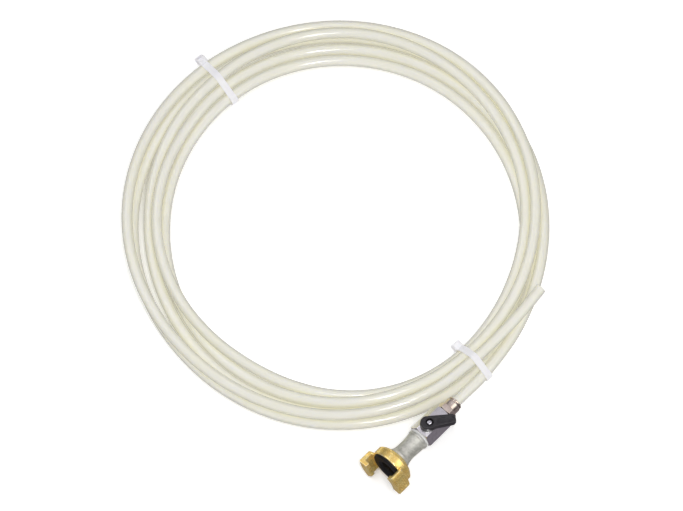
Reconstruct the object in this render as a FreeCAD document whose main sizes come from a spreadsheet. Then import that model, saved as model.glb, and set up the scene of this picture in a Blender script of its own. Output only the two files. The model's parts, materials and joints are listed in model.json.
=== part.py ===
import FreeCAD, Part

import math
import os

import PartDesign
import Sketcher
from FreeCAD import Placement, Rotation, Vector

# A coiled siphon hose with a ball valve and a claw coupling, in millimetres, +Z up.
# The hose lies in a flat coil held by two cable ties.  One hose end is plain.  The other
# ends in a push-in fitting, a ball valve, a pipe socket and a two-claw quick coupling,
# which all share one axis.  The frame's origin is under the middle of the whole object.
#
# Each end part is modelled in the end frame: its X axis is the axis of the end parts and
# points to the hose, X = 0 is the socket's face at the coupling, and Z points up the stem.
# The stem, ball and lever are modelled in the stem frame: Z along the stem, X along the
# ball's bore, origin at the ball's centre.

SIZES = {
    # place of the parts in the frame
    "coil_centre_x": 6.65, "coil_centre_y": 37.48,
    "end_plan_x": 83.4, "end_plan_y": -245.5, "end_height": 23.65,
    "end_direction": 46.6, "end_pitch": 2.5, "end_roll": -1.0,
    # hose
    "hose_dia": 12.0, "hose_bore_dia": 9.0, "hose_spacing": 12.42, "hose_end_length": 95.0,
    "hose_end_curl": 10.5, "hose_end_straight": 12.0, "hose_end_rise": 3.5,
    "hose_lead_distance": 235.0, "tube_stop_depth": 3.0, "tube_stop_gap": 0.15,
    # cable ties
    "tie_angle_a": -48.0, "tie_angle_b": 129.0, "tie_width": 7.8, "tie_thick": 1.4,
    "tie_clearance": 0.9, "tie_head_length": 11.5, "tie_head_width": 10.5,
    "tie_head_height": 7.5, "tie_head_corner": 2.4, "tie_head_edge": 0.9,
    "tie_head_sink": 0.3, "tie_window_length": 3.2, "tie_window_width": 5.6,
    "tie_window_depth": 1.6, "tie_tail_length": 4.0, "tie_tail_tilt": 14.0,
    "tie_tail_slack": 1.6, "tie_tail_level": 0.42,
    # pipe socket
    "socket_length": 32.0, "socket_rim_dia": 25.0, "socket_rim_width": 2.8,
    "socket_waist_dia": 21.0, "thread_bore_dia": 16.66, "thread_stub_dia": 16.2,
    "thread_length": 10.0, "seat_gap": 0.02,
    # claw coupling
    "flange_dia": 46.0, "flange_width": 9.8, "shoulder_length": 5.2, "shoulder_dia": 26.4,
    "coupling_bore_dia": 11.0, "seal_dia": 40.6, "seal_recess_depth": 4.0,
    "seal_proud": 2.4, "seal_bore_dia": 19.0, "claw_dia": 60.4, "claw_reach": 15.0,
    "claw_arc": 51.0, "claw_wall": 4.8, "claw_hook_dia": 39.0, "claw_hook_thick": 5.2,
    "claw_turn": 56.0,
    # ball valve
    "ring_thick": 2.0, "valve_flats": 25.5, "valve_length": 37.0, "stem_offset": 13.2,
    "valve_bore_dia": 9.2, "cavity_dia": 16.7, "ball_dia": 15.0, "ball_bore_dia": 9.0,
    "boss_dia": 14.4, "boss_top": 14.6, "stem_dia": 7.94, "stem_hole_dia": 8.06,
    "collar_dia": 9.9, "collar_bottom": 8.4, "collar_thick": 1.2, "stem_top": 19.6,
    "stem_flats": 5.6, "screw_dia": 3.9,
    # lever
    "lever_bottom": 14.9, "lever_top": 23.0, "lever_tail": 10.3, "lever_reach": 28.6,
    "lever_hub_width": 14.8, "lever_tip_width": 10.8, "lever_recess_dia": 8.8,
    "lever_rest_angle": 36.5, "screw_head_dia": 5.8,
    # push-in fitting
    "fitting_flats": 19.0, "fitting_hex_length": 7.0, "fitting_sleeve_dia": 17.8,
    "fitting_sleeve_length": 8.0, "washer_thick": 1.0, "tube_pocket_dia": 12.12,
    "release_dia": 14.2, "release_bore_dia": 12.16, "release_flange_dia": 16.4,
    "release_travel": 1.1, "sleeve_thick": 0.45,
}

# Where each turn of the hose lies at eight places round the coil.  A turn starts at the
# lower right tie and runs anticlockwise.  Each entry is the distance of the hose's centre
# line from the coil's axis and the layer it is drawn to: 0 is the floor, 1 is on top of one
# other turn, 2 is on top of two.  A layer a little past these presses it there harder.
STATIONS = [-48, 0, 45, 90, 129, 180, 225, 270]
TURNS = [
    [(218, 1.2), (212, 0.9), (217, 0), (219, 0), (218, 0), (230, -0.3), (219, 0), (227, 0)],
    [(221, 0), (208, 0), (207, 0), (202, 0), (206, 0.3), (206, 1.2), (189, 1), (197, 0)],
    [(199, 0), (198, 1), (213, 1), (226, 1), (213, 1), (204, -0.5), (207, 0), (213, 0)],
    [(209, 0), (198, 0), (194, 0), (191, 0), (195, 0), (189, -0.3), (197, 0), (206, 1)],
    [(197, 1), (205, 1.9), (223, 1), (231, 0), (229, 0), (238, 1.4), (215, 1), (222, 1)],
]
LAST_TURN_START = (213, 2.05)
LAYER_RISE = 11.4

# How the coil settles: the share of each correction, early and late, and when it changes.
SETTLE_ROUNDS = 420
PULL_EARLY, PULL_LATE, PULL_CHANGE = 0.03, 0.004, 0.7
IRON_EARLY, IRON_LATE, IRON_CHANGE = 0.45, 0.25, 0.85


class Size:
    """A number that remembers the spreadsheet formula it comes from."""

    def __init__(self, value, formula):
        self.value = value
        self.formula = formula

    def join(self, other, sign, value):
        return Size(value, "({} {} {})".format(self.formula, sign, as_size(other).formula))

    def __add__(self, other):
        return self.join(other, "+", self.value + as_size(other).value)

    def __sub__(self, other):
        return self.join(other, "-", self.value - as_size(other).value)

    def __mul__(self, other):
        return self.join(other, "*", self.value * as_size(other).value)

    def __truediv__(self, other):
        return self.join(other, "/", self.value / as_size(other).value)

    def __neg__(self):
        return Size(-self.value, "(0 - {})".format(self.formula))


def as_size(number):
    if isinstance(number, Size):
        return number
    text = "{:.6f}".format(number)
    return Size(float(number), text if number >= 0 else "(0 - {})".format(text[1:]))


doc = FreeCAD.newDocument("siphon_hose")
sheet = doc.addObject("Spreadsheet::Sheet", "sizes")
nodes = []


def fill_sheet():
    for row, (alias, value) in enumerate(SIZES.items(), start=1):
        sheet.set("A{}".format(row), alias.replace("_", " "))
        sheet.set("B{}".format(row), str(value))
        sheet.setAlias("B{}".format(row), alias)
    doc.recompute()


def size(alias):
    return Size(float(sheet.get(alias)), "sizes." + alias)


def value(alias):
    return float(sheet.get(alias))


# ---------------------------------------------------------------- sketches and features

def origin_plane(body, role):
    for feature in body.Origin.OriginFeatures:
        if feature.Role == role:
            return feature
    raise RuntimeError("no plane " + role)


def new_body(label):
    body = doc.addObject("PartDesign::Body", label)
    body.Label = label
    nodes.append(body)
    return body


def new_sketch(body, name, role, offset=None):
    sketch = body.newObject("Sketcher::SketchObject", body.Label + "_" + name)
    sketch.AttachmentSupport = [(origin_plane(body, role), "")]
    sketch.MapMode = "FlatFace"
    if offset is not None:
        sketch.AttachmentOffset = Placement(Vector(0, 0, offset.value), Rotation())
        sketch.setExpression("AttachmentOffset.Base.z", offset.formula)
    return sketch


def bind(sketch, constraint, number):
    index = sketch.addConstraint(constraint)
    name = "size{}".format(index)
    sketch.renameConstraint(index, name)
    sketch.setExpression("Constraints." + name, number.formula)


def fix_point(sketch, geometry, end, point):
    """Hold one end of a line or arc at its two coordinates from the sketch's origin."""
    for kind, axis, number in (("DistanceX", -2, point[0]), ("DistanceY", -1, point[1])):
        if number.value == 0:
            sketch.addConstraint(Sketcher.Constraint("PointOnObject", geometry, end, axis))
        else:
            rule = Sketcher.Constraint(kind, -1, 1, geometry, end, number.value)
            bind(sketch, rule, number)


def draw_outline(sketch, points):
    """Draw a closed outline.  A point is (x, y), or (x, y, radius) where an arc of that
    radius leads to it; a positive radius bulges to the left of the way it runs."""
    corners = [(as_size(p[0]), as_size(p[1])) for p in points]
    first = sketch.GeometryCount
    for i, point in enumerate(points):
        end = Vector(corners[i][0].value, corners[i][1].value, 0)
        start = Vector(corners[i - 1][0].value, corners[i - 1][1].value, 0)
        if len(point) == 3:
            radius = as_size(point[2])
            middle = arc_middle(start, end, radius.value)
            sketch.addGeometry(Part.Arc(start, middle, end), False)
        else:
            sketch.addGeometry(Part.LineSegment(start, end), False)
    count = len(points)
    for i, point in enumerate(points):
        here = first + i
        after = first + (i + 1) % count
        here_end = last_end(sketch, here, corners[i])
        after_start = 3 - last_end(sketch, after, corners[(i + 1) % count])
        sketch.addConstraint(Sketcher.Constraint("Coincident", here, here_end, after, after_start))
        fix_point(sketch, here, here_end, corners[i])
        if len(point) == 3:
            radius = as_size(point[2])
            if radius.value < 0:
                radius = -radius
            bind(sketch, Sketcher.Constraint("Radius", here, radius.value), radius)


def arc_middle(start, end, radius):
    chord = end - start
    half = chord.Length / 2
    rise = abs(radius) - math.sqrt(radius * radius - half * half)
    left = Vector(-chord.y, chord.x, 0).normalize()
    return (start + end) / 2 + left * math.copysign(rise, radius)


def last_end(sketch, geometry, corner):
    """Which end (1 or 2) of a piece of outline lies on its closing corner."""
    target = Vector(corner[0].value, corner[1].value, 0)
    ends = [sketch.getPoint(geometry, 1), sketch.getPoint(geometry, 2)]
    return 1 if (ends[0] - target).Length < (ends[1] - target).Length else 2


def draw_circle(sketch, centre, radius):
    middle = (as_size(centre[0]), as_size(centre[1]))
    at = Vector(middle[0].value, middle[1].value, 0)
    circle = sketch.addGeometry(Part.Circle(at, Vector(0, 0, 1), radius.value), False)
    fix_point(sketch, circle, 3, middle)
    bind(sketch, Sketcher.Constraint("Radius", circle, radius.value), radius)


def hexagon(flats):
    """The six corners of a hexagon with one flat facing up."""
    corner = flats / math.sqrt(3)
    angles = [math.radians(60 * i) for i in range(6)]
    return [(corner * math.cos(a), corner * math.sin(a)) for a in angles]


def revolve(body, name, points, axis="H_Axis", angle=360, cut=False):
    sketch = new_sketch(body, name, "XZ_Plane")
    draw_outline(sketch, points)
    kind = "PartDesign::Groove" if cut else "PartDesign::Revolution"
    feature = body.newObject(kind, body.Label + "_" + name + "_turned")
    feature.Profile = sketch
    feature.ReferenceAxis = (sketch, [axis])
    feature.Angle = angle if not isinstance(angle, Size) else angle.value
    feature.Midplane = angle != 360
    if isinstance(angle, Size):
        feature.setExpression("Angle", angle.formula)
    sketch.Visibility = False
    return feature


def pad(body, name, role, points, start, length):
    sketch = new_sketch(body, name, role, start)
    draw_outline(sketch, points)
    feature = body.newObject("PartDesign::Pad", body.Label + "_" + name + "_pad")
    feature.Profile = sketch
    feature.Length = length.value
    feature.setExpression("Length", length.formula)
    return feature


def pocket_circle(body, name, role, centre, radius, start, length):
    """Cut a round hole from an offset plane towards the plane's own positive side."""
    sketch = new_sketch(body, name, role, start)
    draw_circle(sketch, centre, radius)
    return finish_pocket(body, name, sketch, length)


def pocket_outline(body, name, role, points, start, length):
    sketch = new_sketch(body, name, role, start)
    draw_outline(sketch, points)
    return finish_pocket(body, name, sketch, length)


def finish_pocket(body, name, sketch, length):
    feature = body.newObject("PartDesign::Pocket", body.Label + "_" + name + "_pocket")
    feature.Profile = sketch
    feature.Reversed = True
    feature.Length = length.value
    feature.setExpression("Length", length.formula)
    return feature


def polar_pattern(body, feature, count, axis="H_Axis"):
    pattern = body.newObject("PartDesign::PolarPattern", feature.Name + "_pattern")
    pattern.Originals = [feature]
    pattern.Axis = (feature.Profile[0], [axis])
    pattern.Angle = 360
    pattern.Occurrences = count
    body.Tip = pattern
    return pattern


def checked_cut(body, feature_maker, *arguments, **options):
    """Add a cutting feature and make sure that it took material away."""
    doc.recompute()
    before = body.Shape.Volume
    feature = feature_maker(body, *arguments, **options)
    doc.recompute()
    if body.Shape.Volume > before - 1e-3:
        raise RuntimeError(feature.Name + " cuts nothing")
    return feature


def ring(label, start, stop, inner, outer, placement, bevel=0.0):
    """A turned ring about the end frame's X axis, with bevelled outer edges."""
    body = new_body(label)
    points = [(start, inner), (stop, inner), (stop, outer - bevel), (stop - bevel, outer),
              (start + bevel, outer), (start, outer - bevel)]
    if not bevel:
        points = [(start, inner), (stop, inner), (stop, outer), (start, outer)]
    revolve(body, "section", points)
    body.Placement = placement
    return body


# ---------------------------------------------------------------- frames

def end_frame():
    """Placement of the end frame: X to the hose, Z up the stem."""
    direction = math.radians(value("end_direction"))
    pitch = math.radians(value("end_pitch"))
    roll = math.radians(value("end_roll"))
    level = Vector(math.cos(direction), math.sin(direction), 0)
    left = Vector(-math.sin(direction), math.cos(direction), 0)
    along = level * math.cos(pitch) - Vector(0, 0, math.sin(pitch))
    over = along.cross(left)
    stem = over * math.cos(roll) + left * math.sin(roll)
    ring_middle = value("socket_length") + value("ring_thick") / 2
    middle = Vector(value("coil_centre_x") + value("end_plan_x"),
                    value("coil_centre_y") + value("end_plan_y"), value("end_height"))
    turn = Rotation(along, stem.cross(along), stem, "ZXY")
    return Placement(middle - along * ring_middle, turn)


def stem_frame(end):
    """Placement of the stem frame with the valve partly open, as it lies at rest."""
    stem_x = value("socket_length") + value("ring_thick") + value("stem_offset")
    turn = Rotation(Vector(0, 0, 1), -value("lever_rest_angle"))
    return end * Placement(Vector(stem_x, 0, 0), turn)


# ---------------------------------------------------------------- hose

def smooth_value(knots, values, at):
    """A smooth curve through a row of knots (Catmull and Rom's cubic)."""
    last = len(knots) - 2
    span = 0
    while span < last and at > knots[span + 1]:
        span += 1
    width = knots[span + 1] - knots[span]
    before = max(span - 1, 0)
    after = min(span + 2, last + 1)
    rise_in = (values[span + 1] - values[before]) / (knots[span + 1] - knots[before])
    rise_out = (values[after] - values[span]) / (knots[after] - knots[span])
    f = (at - knots[span]) / width
    return ((2 * f ** 3 - 3 * f ** 2 + 1) * values[span]
            + (f ** 3 - 2 * f ** 2 + f) * width * rise_in
            + (3 * f ** 2 - 2 * f ** 3) * values[span + 1]
            + (f ** 3 - f ** 2) * width * rise_out)


COIL_STEP = 5
STEPS_ROUND = 360 // COIL_STEP
STEPS_PER_POINT = 3
FLOOR_GAP = 0.2
STRAP_GAP = 0.1
STRAP_REACH = 25
LEAD_IN_STEPS = 2


class Coil:
    """The hose's centre line as distances and heights at equal steps round the coil."""

    def __init__(self, lead_in):
        knots, radii, layers = [], [], []
        for number, turn in enumerate(TURNS):
            for station, (radius, layer) in zip(STATIONS, turn):
                knots.append(360 * number + station - STATIONS[0])
                radii.append(radius)
                layers.append(layer)
        knots.append(360 * len(TURNS))
        radii.append(LAST_TURN_START[0])
        layers.append(LAST_TURN_START[1])
        floor = value("hose_dia") / 2
        self.steps = list(range(0, STEPS_ROUND * len(TURNS) + 1))
        self.want = [(smooth_value(knots, radii, COIL_STEP * i),
                      floor + LAYER_RISE * smooth_value(knots, layers, COIL_STEP * i))
                     for i in self.steps]
        self.at = [list(w) for w in self.want]
        self.lead_in = lead_in
        self.settle()

    def settle(self):
        """Push touching turns apart, keep them off the floor and iron out kinks."""
        for number in range(SETTLE_ROUNDS):
            pull = PULL_EARLY if number < SETTLE_ROUNDS * PULL_CHANGE else PULL_LATE
            iron = IRON_EARLY if number < SETTLE_ROUNDS * IRON_CHANGE else IRON_LATE
            self.pull_home(pull)
            self.iron_out(iron)
            self.separate()

    def pull_home(self, share):
        for here, want in zip(self.at, self.want):
            here[0] += share * (want[0] - here[0])
            here[1] += share * (want[1] - here[1])

    def iron_out(self, share):
        line = [list(p) for p in self.lead_in] + self.at
        shift = len(self.lead_in)
        moved = []
        for i in range(shift, len(line) - 1):
            middle = [(line[i - 1][k] + line[i + 1][k]) / 2 for k in (0, 1)]
            moved.append([line[i][k] + share * (middle[k] - line[i][k]) for k in (0, 1)])
        for i, point in enumerate(moved):
            self.at[i] = point

    def separate(self):
        gap = value("hose_spacing")
        count = len(self.at)
        for start in range(STEPS_ROUND):
            strands = [self.at[i] for i in range(start, count, STEPS_ROUND)]
            for number, one in enumerate(strands):
                for other in strands[number + 1:]:
                    push_apart(one, other, gap)
            for strand in strands:
                strand[1] = max(strand[1], floor_height(STATIONS[0] + COIL_STEP * start))

    def point(self, index):
        angle = math.radians(STATIONS[0] + COIL_STEP * index)
        radius, height = self.at[index]
        return Vector(radius * math.cos(angle), radius * math.sin(angle), height)


def floor_height(angle):
    """Height of the lowest turns: on the floor, but on the straps near the ties."""
    strap = value("tie_clearance") + value("tie_thick") + STRAP_GAP
    lift = 0.0
    for tie_angle in (value("tie_angle_a"), value("tie_angle_b")):
        off = abs((angle - tie_angle + 180) % 360 - 180)
        if off < STRAP_REACH:
            lift = strap * (1 + math.cos(math.radians(off / STRAP_REACH * 180))) / 2
    return value("hose_dia") / 2 + FLOOR_GAP + lift


def push_apart(one, other, gap):
    across = other[0] - one[0]
    up = other[1] - one[1]
    distance = math.hypot(across, up)
    if distance >= gap or distance == 0:
        return
    share = (gap - distance) / 2 / distance
    one[0] -= across * share
    one[1] -= up * share
    other[0] += across * share
    other[1] += up * share


def coil_middle():
    return Vector(value("coil_centre_x"), value("coil_centre_y"), 0)


def polar(point):
    """Distance from the coil's axis and height of a point in the frame."""
    flat = point - coil_middle()
    return math.hypot(flat.x, flat.y), point.z


def straight_run(end):
    """The straight part of the hose: from its stop in the fitting to where it bends."""
    start = end.multVec(Vector(fitting_stop() + value("tube_stop_gap"), 0, 0))
    along = end.Rotation.multVec(Vector(1, 0, 0))
    bend_angle = math.radians(STATIONS[0] - LEAD_IN_STEPS * COIL_STEP)
    flat = start - coil_middle()
    side = Vector(-math.sin(bend_angle), math.cos(bend_angle), 0)
    return start, start - along * (flat.dot(side) / along.dot(side)), along


def fitting_stop():
    valve_end = value("socket_length") + value("ring_thick") + value("valve_length")
    return valve_end - value("tube_stop_depth")


def bend_edge(start, tip, stop):
    """An arc from start to stop whose end tangents meet at the tip."""
    middle = (start + stop) / 2
    half = (stop - start).Length / 2
    toward = tip - middle
    rise = half * math.tan(math.atan2(toward.Length, half) / 2)
    if rise < 1e-4:
        return Part.makeLine(start, stop)
    return Part.Arc(start, middle + toward.normalize() * rise, stop).toShape()


def two_bends(start, start_way, stop, stop_way):
    """Two arcs that leave start and reach stop in the given directions without a kink."""
    reach = stop - start
    ways = start_way + stop_way
    spread = 4 - ways.dot(ways)
    along = reach.dot(ways)
    if spread < 1e-9:
        leg = reach.dot(reach) / (2 * along)
    else:
        leg = (math.sqrt(along * along + spread * reach.dot(reach)) - along) / spread
    first_tip = start + start_way * leg
    last_tip = stop - stop_way * leg
    joint = (first_tip + last_tip) / 2
    return [bend_edge(start, first_tip, joint), bend_edge(joint, last_tip, stop)]


def bent_line(points, first_way, last_way):
    """A smooth chain of arcs through a row of points."""
    ways = [first_way]
    for before, after in zip(points, points[2:]):
        ways.append((after - before).normalize())
    ways.append(last_way)
    edges = []
    for i in range(len(points) - 1):
        edges += two_bends(points[i], ways[i], points[i + 1], ways[i + 1])
    return edges


def free_end(coil):
    """Points and direction of the plain hose end, which rises over the outermost turn."""
    start = coil.point(len(coil.at) - 1)
    leave = Vector(-start.y, start.x, 0).normalize()
    points = []
    for share in (0.25, 0.5, 0.75, 1.0):
        chord = turned(leave, value("hose_end_curl") * share / 2) * value("hose_end_length") * share
        rise = value("hose_end_rise") * share * share * (3 - 2 * share)
        points.append(start + chord + Vector(0, 0, rise))
    return points, turned(leave, value("hose_end_curl"))


def turned(way, angle):
    """A level direction turned anticlockwise by an angle in degrees."""
    return Rotation(Vector(0, 0, 1), angle).multVec(way)


def make_hose(end):
    start, bend, along = straight_run(end)
    step = math.radians(COIL_STEP) * value("hose_lead_distance")
    coil = Coil([polar(bend), polar(bend + along * step)])
    points = [bend]
    points += [coil.point(i) + coil_middle() for i in range(0, len(coil.at), STEPS_PER_POINT)]
    last_points, leave = free_end(coil)
    points += [p + coil_middle() for p in last_points]
    tip = points[-1] + leave * value("hose_end_straight")
    edges = [Part.makeLine(start, bend)] + bent_line(points, along, leave)
    edges.append(Part.makeLine(points[-1], tip))
    outer = Part.Wire(Part.makeCircle(value("hose_dia") / 2, start, along))
    inner = Part.Wire(Part.makeCircle(value("hose_bore_dia") / 2, start, along))
    section = Part.makeFace([outer, inner], "Part::FaceMakerBullseye")
    hose = doc.addObject("Part::Feature", "hose")
    hose.Label = "hose"
    hose.Shape = Part.Wire(edges).makePipe(section)
    nodes.append(hose)
    return coil, edges


# ---------------------------------------------------------------- cable ties

def hull(points):
    """The convex outline of flat points, anticlockwise."""
    ordered = sorted(set((round(x, 6), round(y, 6)) for x, y in points))

    def half(row):
        kept = []
        for p in row:
            while len(kept) > 1 and turn_of(kept[-2], kept[-1], p) <= 0:
                kept.pop()
            kept.append(p)
        return kept[:-1]

    return half(ordered) + half(reversed(ordered))


def turn_of(a, b, c):
    return (b[0] - a[0]) * (c[1] - a[1]) - (b[1] - a[1]) * (c[0] - a[0])


def offset_wire(corners, radius, depth):
    """A hull's outline at a distance: straight along its sides and round its corners."""
    edges = []
    count = len(corners)
    points = [Vector(x, depth, y) for x, y in corners]
    outs = []
    for i in range(count):
        side = points[(i + 1) % count] - points[i]
        outs.append(Vector(side.z, 0, -side.x).normalize() * radius)
    for i in range(count):
        here = points[i]
        before = outs[i - 1]
        after = outs[i]
        middle = (before + after).normalize() * radius
        edges.append(Part.Arc(here + before, here + middle, here + after).toShape())
        edges.append(Part.makeLine(here + after, points[(i + 1) % count] + after))
    return Part.Wire(edges)


def crossings(angle, coil):
    """Where the turns of the hose pass a clock position."""
    place = ((angle - STATIONS[0]) % 360) / COIL_STEP
    centres = []
    while place <= len(coil.at) - 1 + 1e-9:
        index = min(int(place), len(coil.at) - 2)
        share = place - index
        near, far = coil.at[index], coil.at[index + 1]
        centres.append((near[0] + (far[0] - near[0]) * share,
                        near[1] + (far[1] - near[1]) * share))
        place += STEPS_ROUND
    return centres


def make_tie(label, angle, head_way, coil):
    """A strap round the bundle with its head at an angle from the outward direction."""
    corners = hull(crossings(angle, coil))
    width = value("tie_width")
    inner_radius = value("hose_dia") / 2 + value("tie_clearance")
    outer_radius = inner_radius + value("tie_thick")
    rims = [offset_wire(corners, r, -width / 2) for r in (outer_radius, inner_radius)]
    band = [Part.Face(rim).extrude(Vector(0, width, 0)) for rim in rims]
    strap = band[0].cut(band[1])
    way = math.radians(head_way)
    out = Vector(math.cos(way), 0, math.sin(way))
    foot_corner = max(corners, key=lambda c: c[0] * out.x + c[1] * out.z)
    foot = Vector(foot_corner[0], 0, foot_corner[1])
    foot += out * (inner_radius + value("tie_head_sink"))
    head = tie_head()
    head.Placement = Placement(foot, Rotation(Vector(-out.z, 0, out.x), Vector(0, 1, 0), out, "ZXY"))
    tie = doc.addObject("Part::Feature", label)
    tie.Label = label
    tie.Shape = strap.fuse(head)
    tie.Placement = Placement(coil_middle(), Rotation(Vector(0, 0, 1), angle))
    nodes.append(tie)


def tie_head():
    """The locking head on the strap: a rounded block with the trimmed tail beside it."""
    length = value("tie_head_length")
    width = value("tie_head_width")
    height = value("tie_head_height")
    block = Part.makeBox(length, width, height, Vector(-length / 2, -width / 2, 0))
    upright = [e for e in block.Edges if abs(e.tangentAt(0).z) > 0.9]
    block = block.makeFillet(value("tie_head_corner"), upright)
    top = [e for e in block.Edges if all(abs(v.Z - height) < 1e-6 for v in e.Vertexes)]
    block = block.makeFillet(value("tie_head_edge"), top)
    long, wide, deep = [value("tie_window_" + way) for way in ("length", "width", "depth")]
    window = Part.makeBox(long, wide, deep, Vector(-length / 2 + long, -wide / 2, height - deep))
    tail_width = value("tie_width") - value("tie_tail_slack")
    level = height * value("tie_tail_level")
    tail = Part.makeBox(length / 2 + value("tie_tail_length"), tail_width, value("tie_thick"),
                        Vector(0, -tail_width / 2, level))
    tail.rotate(Vector(0, 0, level), Vector(0, 1, 0), -value("tie_tail_tilt"))
    return block.cut(window).fuse(tail)


# ---------------------------------------------------------------- pipe socket

def make_socket(end):
    length = size("socket_length")
    rim = size("socket_rim_dia") / 2
    rim_width = size("socket_rim_width")
    waist = size("socket_waist_dia") / 2
    bore = size("thread_bore_dia") / 2
    bevel = 0.8
    step = 0.85
    neck = rim - step
    depth = neck - waist
    half = length / 2 - rim_width - step
    curve = half * half / (depth * 2) + depth / 2
    body = new_body("pipe_socket")
    revolve(body, "section", [
        (0, bore + bevel), (0, rim - bevel), (bevel, rim, 0.81), (rim_width, rim),
        (rim_width + step, neck), (length - rim_width - step, neck, -curve),
        (length - rim_width, rim), (length - bevel, rim), (length, rim - bevel, 0.81),
        (length, bore + bevel), (length - bevel, bore), (bevel, bore)])
    body.Placement = end


# ---------------------------------------------------------------- claw coupling

def make_coupling_body(end):
    gap = size("seat_gap")
    stub = size("thread_stub_dia") / 2
    stub_end = size("thread_length")
    bore = size("coupling_bore_dia") / 2
    shoulder = size("shoulder_dia") / 2
    flange = size("flange_dia") / 2
    back = -(size("shoulder_length"))
    front = back - size("flange_width")
    recess = size("seal_dia") / 2 + 0.2
    floor = front + size("seal_recess_depth")
    body = new_body("coupling_body")
    revolve(body, "hub", [
        (stub_end, bore), (stub_end, stub - 0.7), (stub_end - 0.7, stub), (-gap, stub),
        (-gap, shoulder - 0.4), (-gap - 0.4, shoulder, -0.41), (back + 0.6, flange - 1.2, -14.0),
        (back, flange - 0.6), (back - 0.6, flange, -0.7), (front + 0.8, flange),
        (front, flange - 0.8, -0.85), (front, recess), (floor, recess), (floor, bore)])
    claw = make_claw(body, front, flange)
    polar_pattern(body, claw, 2)
    make_claw_panels(body, front)
    doc.recompute()
    body.Placement = end * Placement(Vector(), Rotation(Vector(1, 0, 0), value("claw_turn")))


def make_claw(body, front, flange):
    """One claw: a curved wall in front of the flange with a lip that hooks inwards."""
    outer = size("claw_dia") / 2
    inner = outer - size("claw_wall")
    tip = front - size("claw_reach")
    hook = size("claw_hook_dia") / 2
    heel = tip + size("claw_hook_thick")
    return revolve(body, "claw", [
        (front + 5.0, flange - 2.5), (front + 3.6, flange), (front + 1.8, outer - 1.8),
        (front + 0.2, outer, -2.4),
        (tip + 1.6, outer), (tip, outer - 1.6, -1.65), (tip, hook + 0.8),
        (tip + 0.8, hook, -0.85), (heel - 0.8, hook), (heel, hook + 0.8, -0.85),
        (heel, inner - 1.0), (heel + 1.0, inner, 1.05), (front + 0.1, inner), (front + 0.1, flange - 2.5)],
        angle=size("claw_arc"))


def make_claw_panels(body, front):
    """Cut a shallow recessed panel on the outside of both claws."""
    outer = size("claw_dia") / 2
    tip = front - size("claw_reach")
    panel = revolve(body, "claw_panel", [
        (front - 1.9, outer - 0.7), (front - 1.2, outer + 0.5), (tip + 3.0, outer + 0.5),
        (tip + 3.7, outer - 0.7)], angle=size("claw_arc") * 0.68, cut=True)
    polar_pattern(body, panel, 2)


def make_coupling_seal(end):
    front = -(size("shoulder_length") + size("flange_width"))
    floor = front + size("seal_recess_depth") - size("seat_gap")
    face = front - size("seal_proud")
    outer = size("seal_dia") / 2
    inner = size("seal_bore_dia") / 2
    body = new_body("coupling_seal")
    revolve(body, "section", [
        (floor, inner), (floor, outer), (face + 1.5, outer), (face, outer - 1.5, -1.6),
        (face, inner + 3.2), (face + 1.4, inner + 1.8), (face + 2.2, inner)])
    body.Placement = end


# ---------------------------------------------------------------- ball valve

def valve_stations():
    """Where the valve's body starts and ends and where its stem stands."""
    start = size("socket_length") + size("ring_thick") + size("seat_gap")
    return start, start + size("valve_length"), start + size("stem_offset") - size("seat_gap")


def make_valve_body(end):
    start, stop, stem = valve_stations()
    flats = size("valve_flats")
    corner = flats / math.sqrt(3)
    stub = size("thread_stub_dia") / 2
    stub_end = size("socket_length") - size("thread_length")
    bore = size("valve_bore_dia") / 2
    cavity = size("cavity_dia") / 2
    seat_floor = stem - size("ball_dia") / 2 - 1.05
    body = new_body("valve_body")
    pad(body, "hexagon", "YZ_Plane", hexagon(flats), start, stop - start)
    sketch = new_sketch(body, "boss", "XY_Plane", as_size(0.0) + 6)
    draw_circle(sketch, (stem, 0), size("boss_dia") / 2)
    boss = body.newObject("PartDesign::Pad", "valve_body_boss_pad")
    boss.Profile = sketch
    boss.Length = value("boss_top") - 6
    boss.setExpression("Length", "sizes.boss_top - 6")
    revolve(body, "stub", [(stub_end, 0), (stub_end, stub - 0.7), (stub_end + 0.7, stub),
                           (start + 1, stub), (start + 1, 0)])
    skirt = corner + 1
    bevel = corner - flats / 2 + 0.35
    checked_cut(body, revolve, "bevel_near", [
        (start - 0.01, flats / 2 - 0.35), (start - 0.01, skirt), (start + bevel * 0.58, skirt),
        (start + bevel * 0.58, corner)], cut=True)
    checked_cut(body, revolve, "bevel_far", [
        (stop + 0.01, flats / 2 - 0.35), (stop - bevel * 0.58, corner),
        (stop - bevel * 0.58, skirt), (stop + 0.01, skirt)], cut=True)
    checked_cut(body, revolve, "bore", [
        (stub_end - 1, 0), (stub_end - 1, bore), (seat_floor, bore), (seat_floor, cavity),
        (stop - 0.8, cavity), (stop + 0.4, cavity + 1.2), (stop + 0.4, 0)], cut=True)
    hole = size("stem_hole_dia") / 2
    checked_cut(body, pocket_circle, "stem_hole", "XY_Plane", (stem, 0), hole,
                as_size(0.0) + 1, size("boss_top"))
    shoulder_depth = size("collar_bottom") + size("collar_thick") + 0.9
    checked_cut(body, pocket_circle, "collar_hole", "XY_Plane", (stem, 0),
                size("collar_dia") / 2 + 0.1, as_size(0.0) + 1, shoulder_depth - 1)
    body.Placement = end


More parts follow.
